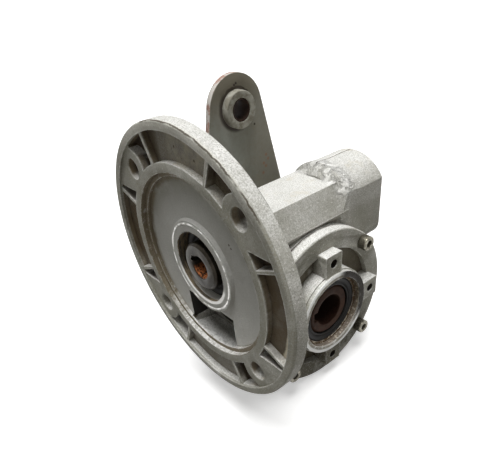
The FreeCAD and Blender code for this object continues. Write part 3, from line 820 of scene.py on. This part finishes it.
@dataclass(frozen=True)
class PaintedPlate(Finish):
    """Old grey paint on flat steel: a brown haze, dark chips, rusty bare edges and a painted shadow under the
    bush.
    """

    paint_colour: Colour = (0.36, 0.37, 0.335)
    haze: Colour = (0.22, 0.195, 0.145)
    edge: Colour = (0.62, 0.59, 0.55)
    rust: Colour = (0.34, 0.17, 0.12)
    # dark colour of chips, and of the painted shadow under the bush
    chip: Colour = (0.035, 0.022, 0.018)
    chips: tuple[Place, ...] = ((-0.2, 35.0, 110.6), (1.0, 35.0, 111.2), (11.0, 35.0, 88.4))
    rust_marks: tuple[Place, ...] = ((15.5, 35.0, 65.0), (14.6, 35.0, 59.5), (17.6, 35.0, 69.5),
                                     (19.0, 35.0, 66.8), (17.0, 35.0, 63.0))
    collar_r: float = 9.9
    front_y: float = 35.0
    back_y: float = 38.6
    gloss: float = 0.14

    def paint(self, sheet: Sheet) -> None:
        """Lay out the old paint.

        Args:
            sheet: The node sheet.
        """
        side = (sheet.x + sheet.noise(38, 4, 0.6) * (20 * MM)).step(2, 24)
        haze = side * 0.55 | sheet.z.step(84, 112) * 0.85
        colour = sheet.mix(haze, self.paint_colour, self.haze)
        colour = colour.under(sheet.cloud(420, 4, 0.7, 0.4, 0.66) * 0.22, self.haze)
        rim = sheet.y.band(self.front_y + 0.35, self.back_y - 0.35, 0.2)
        rusty = rim * sheet.cloud(170, 4, 0.65, 0.46, 0.56)
        colour = colour.under(rim, self.edge).under(rusty * 0.8, self.rust)
        spots = sheet.near_points(self.rust_marks, 0.8, 0.6)
        colour = colour.under(spots * 0.75, self.rust)
        bare = sheet.ridge(0.8) * sheet.cloud(210, 4, 0.7, 0.5, 0.56)
        from_bush = sheet.from_line(sheet.x, BUSH_Z)
        ragged_r = from_bush - sheet.noise(260, 3) * (2.4 * MM)
        grime = ragged_r.step(self.collar_r + 0.4, self.collar_r - 0.6)
        # painted shadow: a dark crescent below and to the left of the bush
        below = (sheet.z - BUSH_Z * MM + sheet.x).step(6, -2)
        shadow = below * from_bush.step(self.collar_r + 2.6, self.collar_r + 0.6)
        dark = bare | grime * 0.85 | shadow * 0.9 | sheet.near_points(self.chips, 0.6, 0.35)
        colour = colour.under(dark * 0.92, self.chip)
        sheet.shade(colour, 0.42 + sheet.noise(200, 4) * 0.25, gloss=self.gloss)
        sheet.bump(sheet.noise(700, 3) * 0.5 - dark, 0.09)


@dataclass(frozen=True)
class WornSteel(Finish):
    """Steel with an oily, rusty or plated wash over it and painted shade in its corners; lines is how deeply it is
    turned.
    """

    clean: Colour = (0.30, 0.29, 0.28)
    stain: Colour = (0.10, 0.07, 0.05)
    amount: float = 0.6
    metal: float = 0.9
    roughness: float = 0.35
    scale: float = 160.0
    gloss: float = 0.3
    lines: float = 0.0

    def paint(self, sheet: Sheet) -> None:
        """Lay out the stained steel.

        Args:
            sheet: The node sheet.
        """
        dirty = sheet.cloud(self.scale, 4, 0.65, 0.38, 0.62) * self.amount
        # painted shade with the wash: ambient occlusion darkens corners
        corner = sheet.crevice(2.5).ramp(0.35, 0.9) * 0.7
        colour = sheet.mix(dirty | corner, self.clean, self.stain)
        sheet.shade(colour, self.roughness + dirty * 0.3, self.metal, self.gloss)
        turned = sheet.noise(320, 2, 0.5, (12.0, 1.0, 1.0)) * self.lines
        sheet.bump(turned + sheet.noise(900, 2), 0.03)


@dataclass(frozen=True)
class RustyBore(WornSteel):
    """Dark shaft steel whose bore is painted dark as shade, with red rust on its lower wall up to a height, and
    worn outer edges.
    """

    rust: Colour = (0.42, 0.14, 0.045)
    worn: Colour = (0.55, 0.53, 0.5)
    bore_r: float = 6.0
    axis: Axis = Axis.WORM
    rust_top_z: float = 0.0
    patch_low: float = 0.39
    patch_high: float = 0.55
    wear: float = 0.6

    def paint(self, sheet: Sheet) -> None:
        """Lay out the steel, painted dark as shade inside a radius, with rust low in it.

        Args:
            sheet: The node sheet.
        """
        inside = sheet.from_axis(self.axis).step(self.bore_r + 0.4, self.bore_r - 0.1)
        oily = sheet.cloud(self.scale, 4, 0.65, 0.36, 0.62) * self.amount
        red = (inside * sheet.cloud(600, 4, 0.7, self.patch_low, self.patch_high)
               * sheet.z.step(self.rust_top_z, self.rust_top_z - 4))
        colour = sheet.mix(oily, self.clean, self.stain)
        # painted shade: the bore is dark, and rust shows only on its lower wall, where the light reaches
        colour = colour.under(inside, self.stain).under(red, self.rust)
        colour = colour.under(sheet.ridge(0.6).without(inside) * self.wear, self.worn)
        sheet.shade(colour, self.roughness + inside * 0.4, self.metal - inside * 0.7, self.gloss)
        sheet.bump(sheet.noise(500, 3) + red * 0.8, 0.05)


@dataclass(frozen=True)
class Rubber(Finish):
    """Matt black rubber with dust on it."""

    black: Colour = (0.016, 0.015, 0.014)
    dust: Colour = (0.11, 0.095, 0.07)
    dusty: float = 0.35
    roughness: float = 0.55
    gloss: float = 0.12

    def paint(self, sheet: Sheet) -> None:
        """Lay out the rubber.

        Args:
            sheet: The node sheet.
        """
        dust = sheet.cloud(190, 4, 0.65, 0.42, 0.66) * self.dusty
        colour = sheet.mix(dust, self.black, self.dust)
        sheet.shade(colour, self.roughness + dust * 0.5, gloss=self.gloss)
        sheet.bump(sheet.noise(1100, 2), 0.03)


@dataclass(frozen=True)
class GearBronze(Finish):
    """Cut bronze with brighter flanks, oily gaps and painted shade in the gaps."""

    clean: Colour = (0.62, 0.37, 0.13)
    oil: Colour = (0.16, 0.085, 0.03)

    def paint(self, sheet: Sheet) -> None:
        """Lay out the bronze.

        Args:
            sheet: The node sheet.
        """
        # oil and painted shade: ambient occlusion darkens the gaps
        oily = sheet.cloud(110, 4, 0.6, 0.46, 0.68) | sheet.crevice(2).ramp(0.4, 0.9)
        sheet.shade(sheet.mix(oily * 0.7, self.clean, self.oil), 0.26 + oily * 0.2, 1.0)
        sheet.bump(sheet.noise(400, 2, 0.5, (1.0, 14.0, 1.0)), 0.02)


@dataclass(frozen=True)
class FloorPaper(Finish):
    """Paper that glows white to the eye and is dim to the light on the part."""

    white: Colour = (0.80, 0.80, 0.80)
    dim: Colour = (0.07, 0.064, 0.05)
    glow: float = 0.45

    def paint(self, sheet: Sheet) -> None:
        """Lay out the paper.

        Args:
            sheet: The node sheet.
        """
        eye = sheet.seen_directly()
        sheet.shade(sheet.mix(eye, self.dim, self.white), 0.9, gloss=0.0)
        sheet.feed(sheet.surface.inputs["Emission Color"], WHITE)
        sheet.feed(sheet.surface.inputs["Emission Strength"], eye * self.glow)


CASE = CaseCasting("case_casting")
COVER = CoverCasting("cover_casting")
PLAIN_CAST = CastAluminium("plain_casting")
TURNED_EDGE = CastAluminium("turned_cast_edge", pale=(0.46, 0.46, 0.435), film_and_shade_amount=0.2,
                            roughness=0.4, metal=0.2, grain_depth=0.03)
ARM_PAINT = PaintedPlate("old_arm_paint")
ZINC = WornSteel("oily_screw_zinc", clean=(0.27, 0.255, 0.205), stain=(0.045, 0.038, 0.026),
                 amount=0.75, metal=0.85, roughness=0.26, scale=520.0)
WORM_STEEL = RustyBore("oily_worm_steel", clean=(0.040, 0.034, 0.025), stain=(0.012, 0.009, 0.006),
                       rust=(0.50, 0.17, 0.06), amount=0.8, metal=0.4, gloss=0.1, roughness=0.3,
                       bore_r=5.9, rust_top_z=WORM_Z - 0.5)
OUTPUT_STEEL = RustyBore("output_steel", clean=(0.060, 0.030, 0.019), stain=(0.022, 0.011, 0.007),
                         rust=(0.02, 0.008, 0.005), amount=0.7, metal=0.0, gloss=0.1, roughness=0.6,
                         bore_r=9.4, axis=Axis.OUTPUT, wear=0.05)
SLEEVE = WornSteel("worn_sleeve_paint", clean=(0.40, 0.39, 0.335), stain=(0.17, 0.155, 0.115),
                   amount=0.7, metal=0.05, roughness=0.5, gloss=0.2, scale=230.0)
SEAL = Rubber("seal_rubber", black=(0.010, 0.0095, 0.009), dusty=0.08, roughness=0.38)
# painted shade: the near-black liner makes the bush's bore look deep and dark
LINER_SHADE = Rubber("liner_rubber", black=(0.030, 0.017, 0.012), dust=(0.09, 0.06, 0.04))
GASKET = Rubber("gasket_paper", black=(0.10, 0.09, 0.075), dust=(0.04, 0.035, 0.03), dusty=0.6,
                roughness=0.8)
CAP = Rubber("rear_cap_rubber", dusty=0.5)
BRONZE = GearBronze("gear_bronze")
RING_STEEL = WornSteel("bearing_ring_steel", clean=(0.62, 0.62, 0.63), stain=(0.34, 0.30, 0.24),
                       amount=0.35, roughness=0.22, lines=0.8)
BALL_STEEL = WornSteel("bearing_ball_steel", clean=(0.80, 0.80, 0.82), stain=(0.5, 0.47, 0.42),
                       amount=0.2, roughness=0.09)
CAGE_STEEL = WornSteel("bearing_cage_steel", clean=(0.55, 0.53, 0.50), stain=(0.25, 0.21, 0.16),
                       amount=0.5, roughness=0.4)
SPRING_STEEL = WornSteel("circlip_steel", clean=(0.14, 0.135, 0.13), stain=(0.12, 0.05, 0.02),
                         roughness=0.38)
FLOOR = FloorPaper("floor_paper")


def linked(name: str, work: bmesh.types.BMesh) -> bpy.types.Object:
    """Turn a bmesh into a smooth-shaded piece in the scene.

    Args:
        name: The piece's name.
        work: The shape; it is freed.

    Returns:
        The new object.
    """
    mesh = bpy.data.meshes.new(name)
    for face in work.faces:
        face.smooth = True
    work.to_mesh(mesh)
    work.free()
    obj = bpy.data.objects.new(name, mesh)
    bpy.context.scene.collection.objects.link(obj)
    return obj


def place(obj: bpy.types.Object, finish: Finish, body: str = "housing") -> None:
    """Finish a piece: material, body and slot, and a line in the log.

    Args:
        obj: The piece.
        finish: What it wears.
        body: The CAD body that it rides on.
    """
    finish.dress(obj)
    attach(obj, body)
    log.info("%s rides on %s with %s", obj.name, body, finish.name)


def rounded(node: str, name: str, finish: Finish, width: float, segments: int = 2,
            body: str = "housing", edge_angle: float = 28.0) -> None:
    """Put a copy with rounded edges in the place of a CAD node.

    Args:
        node: The CAD node.
        name: The new piece's name.
        finish: What it wears.
        width: Width of the rounded edges.
        segments: Faces across each edge.
        body: The CAD body that it rides on.
        edge_angle: Smallest edge angle that is rounded, in degrees.
    """
    work = bmesh.new()
    work.from_mesh(frame["nodes"][node].data)
    bmesh.ops.remove_doubles(work, verts=work.verts, dist=2e-6)
    bmesh.ops.dissolve_limit(work, angle_limit=math.radians(1.0), verts=work.verts,
                             edges=work.edges, delimit={"NORMAL"})
    obj = linked(name, work)
    bevel = obj.modifiers.new("edge_round", "BEVEL")
    bevel.width = width * MM
    bevel.segments = segments
    bevel.limit_method = "ANGLE"
    bevel.angle_limit = math.radians(edge_angle)
    bevel.harden_normals = True
    bevel.use_clamp_overlap = True
    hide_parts(node)
    place(obj, finish, body)


def dress_node(node: str, finish: Finish) -> None:
    """Give a CAD node its finish.

    Args:
        node: The node's name.
        finish: What it wears.
    """
    finish.dress(frame["nodes"][node])
    log.info("%s keeps its shape with %s", node, finish.name)


def spun(section: Sequence[tuple[float, float]], axis: Axis, steps: int = 128) -> bmesh.types.BMesh:
    """Closed section turned round an axis.

    Args:
        section: Points of the section, as place along the axis and radius.
        axis: What it turns round.
        steps: Faces round the axis.

    Returns:
        The turned solid.
    """
    work = bmesh.new()
    face = work.faces.new([work.verts.new(axis.place(along, radius)) for along, radius in section])
    bmesh.ops.delete(work, geom=[face], context="FACES_ONLY")
    bmesh.ops.spin(work, geom=work.verts[:] + work.edges[:], cent=axis.centre, axis=axis.direction,
                   angle=math.tau, steps=steps, use_merge=True)
    bmesh.ops.remove_doubles(work, verts=work.verts, dist=1e-7)
    bmesh.ops.recalc_face_normals(work, faces=work.faces)
    return work


@dataclass
class GearCase:
    """Die-cast case: rounded casting, lip of the bearing boss and flash of the mould."""

    edge_round: float = 0.45
    lip_r: float = 22.7
    lip_width: float = 0.9
    lip_height: float = 0.18
    lip_root: float = 0.2
    boss_face_x: float = -59.9
    ridge_start_x: float = 36.5
    ridge_end_x: float = 53.0
    ridge_y: float = 3.0
    ridge_r: float = 24.6
    ridge_thickness: float = 0.5
    ridge_round: float = 0.15

    def boss_lip(self) -> None:
        """Low turned lip on the bearing boss, a little inside its edge."""
        root, top = self.boss_face_x + self.lip_root, self.boss_face_x - self.lip_height
        half = self.lip_width / 2
        work = spun([(root, self.lip_r - half), (top, self.lip_r - half / 2),
                     (top, self.lip_r + half / 2), (root, self.lip_r + half)], Axis.WORM)
        place(linked("bearing_boss_lip", work), TURNED_EDGE)

    def parting_ridge(self) -> None:
        """Thin flash of the mould's parting line along the top of the rear head."""
        work = bmesh.new()
        bmesh.ops.create_cube(work, size=MM)
        size = (self.ridge_end_x - self.ridge_start_x, self.ridge_thickness, self.ridge_thickness)
        bmesh.ops.scale(work, vec=size, verts=work.verts)
        centre = ((self.ridge_start_x + self.ridge_end_x) / 2, self.ridge_y,
                  WORM_Z + math.sqrt(self.ridge_r ** 2 - self.ridge_y ** 2))
        bmesh.ops.translate(work, vec=[value * MM for value in centre], verts=work.verts)
        bmesh.ops.bevel(work, geom=work.edges[:], offset=self.ridge_round * MM, segments=2,
                        profile=0.5, affect="EDGES", material=-1)
        place(linked("parting_line_ridge", work), PLAIN_CAST)

    def build(self) -> None:
        """Build the case."""
        rounded("gear_case", "gear_case_casting", CASE, self.edge_round)
        self.boss_lip()
        self.parting_ridge()


@dataclass
class OutputCover:
    """One output cover with its screws, gasket and lip seal."""

    side: str
    outward: int
    edge_round: float = 0.5
    screw_round: float = 0.2
    seal_outer_r: float = 20.0
    seal_inner_r: float = 15.05
    seal_back_y: float = 24.0
    seal_front_y: float = 31.0

    def seal(self) -> None:
        """Lip seal with a rounded rim, a groove and a thin lip on the shaft."""
        out, inn = self.seal_outer_r, self.seal_inner_r
        back, front = self.seal_back_y, self.seal_front_y
        profile = [(back, out), (front - 0.4, out), (front, out - 0.5), (front, out - 1.3),
                   (front - 0.7, out - 1.8), (front - 0.8, inn + 1.9), (front - 0.2, inn + 1.1),
                   (front - 0.1, inn + 0.5), (front - 0.7, inn + 0.1), (front - 1.6, inn + 0.35),
                   (back + 2.6, inn + 0.05), (back + 1.8, inn + 0.5), (back + 2.6, inn + 1.3),
                   (back + 3.4, out - 1.6), (back, out - 1.5)]
        work = spun([(self.outward * along, radius) for along, radius in profile], Axis.OUTPUT)
        obj = linked(f"{self.side}_output_lip_seal", work)
        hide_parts(f"{self.side}_output_seal")
        place(obj, SEAL)

    def build(self) -> None:
        """Build and dress the cover's pieces."""
        rounded(f"{self.side}_cover", f"{self.side}_cover_casting", COVER,
                self.edge_round)
        rounded(f"{self.side}_cover_screws", f"{self.side}_cap_screws", ZINC,
                self.screw_round)
        self.seal()
        dress_node(f"{self.side}_cover_gasket", GASKET)


@dataclass
class WormEnd:
    """Motor end of the worm: shaft, lip seal and retaining rings."""

    edge_round: float = 0.35
    seal_outer_r: float = 18.5
    seal_inner_r: float = 12.55
    seal_front_x: float = -54.0
    seal_back_x: float = -47.0

    def seal(self) -> None:
        """Lip seal round the hollow end of the worm."""
        out, inn = self.seal_outer_r, self.seal_inner_r
        back, front = self.seal_back_x, self.seal_front_x
        profile = [(back, out), (front + 0.4, out), (front, out - 0.5), (front, out - 1.6),
                   (front + 0.8, out - 2.1), (front + 0.9, inn + 1.6), (front + 0.1, inn + 0.8),
                   (front + 0.1, inn + 0.1), (front + 2.8, inn + 0.05), (front + 3.6, inn + 1.4),
                   (front + 2.6, out - 1.6), (back, out - 1.4)]
        obj = linked("worm_lip_seal", spun(profile, Axis.WORM))
        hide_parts("worm_seal")
        place(obj, SEAL)

    def build(self) -> None:
        """Build and dress the worm's pieces."""
        rounded("worm_shaft", "worm_shaft_ground", WORM_STEEL, self.edge_round,
                body="worm")
        self.seal()
        for node in ("worm_front_circlip", "worm_rear_circlip", "worm_shaft_circlip"):
            dress_node(node, SPRING_STEEL)
        dress_node("worm_rear_cap", CAP)


@dataclass
class TorqueArm:
    """Painted steel arm with its bush and bolts."""

    edge_round: float = 0.5
    bolt_round: float = 0.25
    washer_round: float = 0.2

    def build(self) -> None:
        """Build and dress the arm's pieces."""
        edge = self.edge_round
        rounded("torque_arm", "torque_arm_plate", ARM_PAINT, edge)
        rounded("torque_arm_bush_sleeve", "bush_sleeve_ring", SLEEVE, edge, 3)
        rounded("torque_arm_bush_liner", "bush_liner_ring", LINER_SHADE, edge, 3)
        rounded("torque_arm_bolts", "arm_hexagon_bolts", ZINC, self.bolt_round)
        rounded("torque_arm_washers", "arm_flat_washers", ZINC, self.washer_round)


@dataclass
class OutputShaft:
    """Hollow output shaft with its bronze rim."""

    edge_round: float = 0.3

    def build(self) -> None:
        """Build and dress the shaft and the wheel."""
        rounded("hollow_output_shaft", "output_shaft_turned", OUTPUT_STEEL,
                self.edge_round, body="output")
        dress_node("worm_wheel_rim", BRONZE)


@dataclass
class Bearings:
    """The four ball bearings."""

    names: tuple[str, ...] = ("near_output_bearing", "far_output_bearing", "worm_front_bearing",
                              "worm_rear_bearing")

    def build(self) -> None:
        """Dress the rings, balls and cages."""
        for name in self.names:
            for part, finish in (("inner_ring", RING_STEEL), ("outer_ring", RING_STEEL),
                                 ("balls", BALL_STEEL), ("cage", CAGE_STEEL)):
                dress_node(f"{name}_{part}", finish)


@dataclass
class Studio:
    """Plain pale floor, soft light from above and the camera of the photograph."""

    camera_place: Place = (-158.8, -173.1, 168.7)
    azimuth: float = -37.61
    elevation: float = 38.22
    roll: float = -6.0
    focal_pixels: float = 474.8
    image_width: float = 500.0
    image_height: float = 473.0
    principal_x: float = 260.5
    principal_y: float = 312.0
    sensor: float = 36.0
    nearest_m: float = 0.01
    farthest_m: float = 50.0
    floor_size_m: float = 12.0
    floor_gap: float = 0.2
    sky: Colour = (0.10, 0.097, 0.085)
    key_strength: float = 3.6
    key_spread: float = 36.0
    key_towards: Place = (0.07, 0.03, -1.0)
    fill_strength: float = 0.2
    fill_spread: float = 60.0
    fill_towards: Place = (0.55, 0.65, -0.45)

    def camera(self) -> None:
        """Set the camera at the photograph's angle."""
        data = bpy.data.cameras.new("camera")
        data.sensor_fit = "HORIZONTAL"
        data.sensor_width = self.sensor
        data.lens = self.sensor * self.focal_pixels / self.image_width
        data.shift_x = (self.image_width / 2 - self.principal_x) / self.image_width
        data.shift_y = (self.principal_y - self.image_height / 2) / self.image_width
        data.clip_start, data.clip_end = self.nearest_m, self.farthest_m
        a, e, r = (math.radians(angle) for angle in (self.azimuth, self.elevation, self.roll))
        back = Vector((math.sin(a) * math.cos(e), -math.cos(a) * math.cos(e), math.sin(e)))
        level = (-back).cross(Vector((0, 0, 1))).normalized()
        upright = level.cross(-back)
        right = level * math.cos(r) + upright * math.sin(r)
        turn = Matrix((right, back.cross(right), back)).transposed().to_4x4()
        obj = bpy.data.objects.new("camera", data)
        obj.matrix_world = Matrix.Translation([value * MM for value in self.camera_place]) @ turn
        bpy.context.scene.collection.objects.link(obj)
        bpy.context.scene.camera = obj

    def floor(self) -> None:
        """Lay a pale floor just under the lowest point of the part."""
        work = bmesh.new()
        bmesh.ops.create_grid(work, x_segments=1, y_segments=1, size=self.floor_size_m / 2)
        bmesh.ops.translate(work, vec=(0, 0, cad_box[0].z - self.floor_gap * MM), verts=work.verts)
        obj = linked("floor", work)
        FLOOR.dress(obj)

    def world(self) -> None:
        """Set white surroundings for the eye and a plain dim sky for the light."""
        world = bpy.data.worlds.new("surroundings")
        world.use_nodes = True
        nodes = Nodes(world.node_tree)
        colour = nodes.mix(nodes.seen_directly(), self.sky, WHITE)
        nodes.feed(world.node_tree.nodes["Background"].inputs["Color"], colour)
        bpy.context.scene.world = world

    def lamp(self, name: str, strength: float, spread: float, towards: Place) -> None:
        """Hang one soft sun.

        Args:
            name: Its name.
            strength: Its strength.
            spread: How wide it looks, in degrees.
            towards: Direction that the light travels in.
        """
        data = bpy.data.lights.new(name, "SUN")
        data.energy = strength
        data.angle = math.radians(spread)
        obj = bpy.data.objects.new(name, data)
        obj.matrix_world = Vector(towards).to_track_quat("-Z", "Y").to_matrix().to_4x4()
        bpy.context.scene.collection.objects.link(obj)

    def build(self) -> None:
        """Set up the studio."""
        bpy.context.scene.view_settings.view_transform = "Standard"
        self.floor()
        self.world()
        self.lamp("key", self.key_strength, self.key_spread, self.key_towards)
        self.lamp("fill", self.fill_strength, self.fill_spread, self.fill_towards)
        self.camera()


def main() -> None:
    """Build the sub-assemblies in order."""
    GearCase().build()
    OutputCover("near", -1).build()
    OutputCover("far", 1).build()
    WormEnd().build()
    OutputShaft().build()
    Bearings().build()
    TorqueArm().build()
    Studio().build()


if __name__ == "__main__":
    main()
